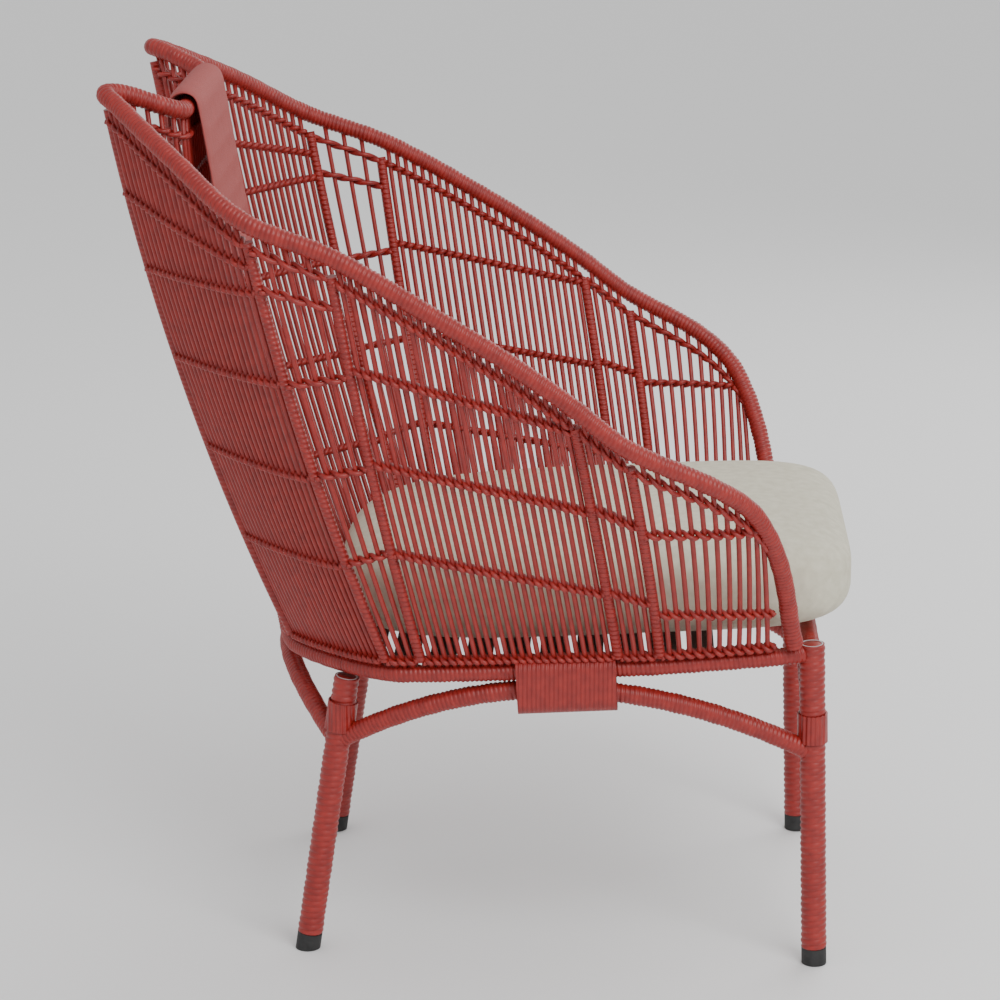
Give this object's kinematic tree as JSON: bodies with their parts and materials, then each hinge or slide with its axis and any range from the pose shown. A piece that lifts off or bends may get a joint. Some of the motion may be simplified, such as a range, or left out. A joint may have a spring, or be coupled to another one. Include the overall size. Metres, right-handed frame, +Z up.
{
  "type": "armchair",
  "caption": "Woven lounge armchair: cane-wrapped tube frame on legs, flared open shell of upright strands, loose seat cushion, head pad over the back rail.",
  "frame": {"origin": "on the floor under the middle of the chair", "axes": "+Z up, the sitter faces -Y, +X is the sitter's left"},
  "size_m": [0.8224, 0.8446, 1.0126],
  "materials": {
    "woven_cane": "satin red synthetic cane",
    "frame_tube": "bare tube under the winding",
    "foot_rubber": "matt black",
    "seat_webbing": "flat webbing",
    "cushion_fabric": "beige woven cover",
    "pad_fabric": "soft red cover"
  },
  "bodies": {
    "frame": {"arm_rail_tube_left": "frame_tube", "arm_rail_tube_right": "frame_tube", "arm_rail_wrap_left": "woven_cane", "arm_rail_wrap_right": "woven_cane", "back_rail_tube": "frame_tube", "back_rail_wrap": "woven_cane", "corner_post_left": "woven_cane", "corner_post_right": "woven_cane", "front_arch": "woven_cane", "front_foot_cap_left": "foot_rubber", "front_foot_cap_right": "foot_rubber", "front_leg_tube_left": "frame_tube", "front_leg_tube_right": "frame_tube", "front_leg_wrap_left": "woven_cane", "front_leg_wrap_right": "woven_cane", "front_rail_tube": "frame_tube", "front_rail_wrap": "woven_cane", "head_pad": "pad_fabric", "joint_bands_left": "woven_cane", "joint_bands_right": "woven_cane", "rear_arch": "woven_cane", "rear_foot_cap_left": "foot_rubber", "rear_foot_cap_right": "foot_rubber", "rear_leg_tube_left": "frame_tube", "rear_leg_tube_right": "frame_tube", "rear_leg_wrap_left": "woven_cane", "rear_leg_wrap_right": "woven_cane", "rear_rail_tube": "frame_tube", "rear_rail_wrap": "woven_cane", "seat_straps": "seat_webbing", "shell_posts_left": "woven_cane", "shell_posts_right": "woven_cane", "side_arch_left": "woven_cane", "side_arch_right": "woven_cane", "side_rail_tube_left": "frame_tube", "side_rail_tube_right": "frame_tube", "side_rail_wrap_left": "woven_cane", "side_rail_wrap_right": "woven_cane", "strands_arm_front_left": "woven_cane", "strands_arm_front_right": "woven_cane", "strands_arm_gap_left": "woven_cane", "strands_arm_gap_right": "woven_cane", "strands_back": "woven_cane", "strands_side_left": "woven_cane", "strands_side_right": "woven_cane", "strands_wing_gap_left": "woven_cane", "strands_wing_gap_right": "woven_cane", "strands_wing_left": "woven_cane", "strands_wing_right": "woven_cane"},
    "cushion": {"cushion": "cushion_fabric"}
  },
  "joints": [
    {"name": "cushion_lift", "type": "slide", "parent": "frame", "child": "cushion", "axis": [0, 0, 1], "range_m": [0, 0.5]}
  ]
}
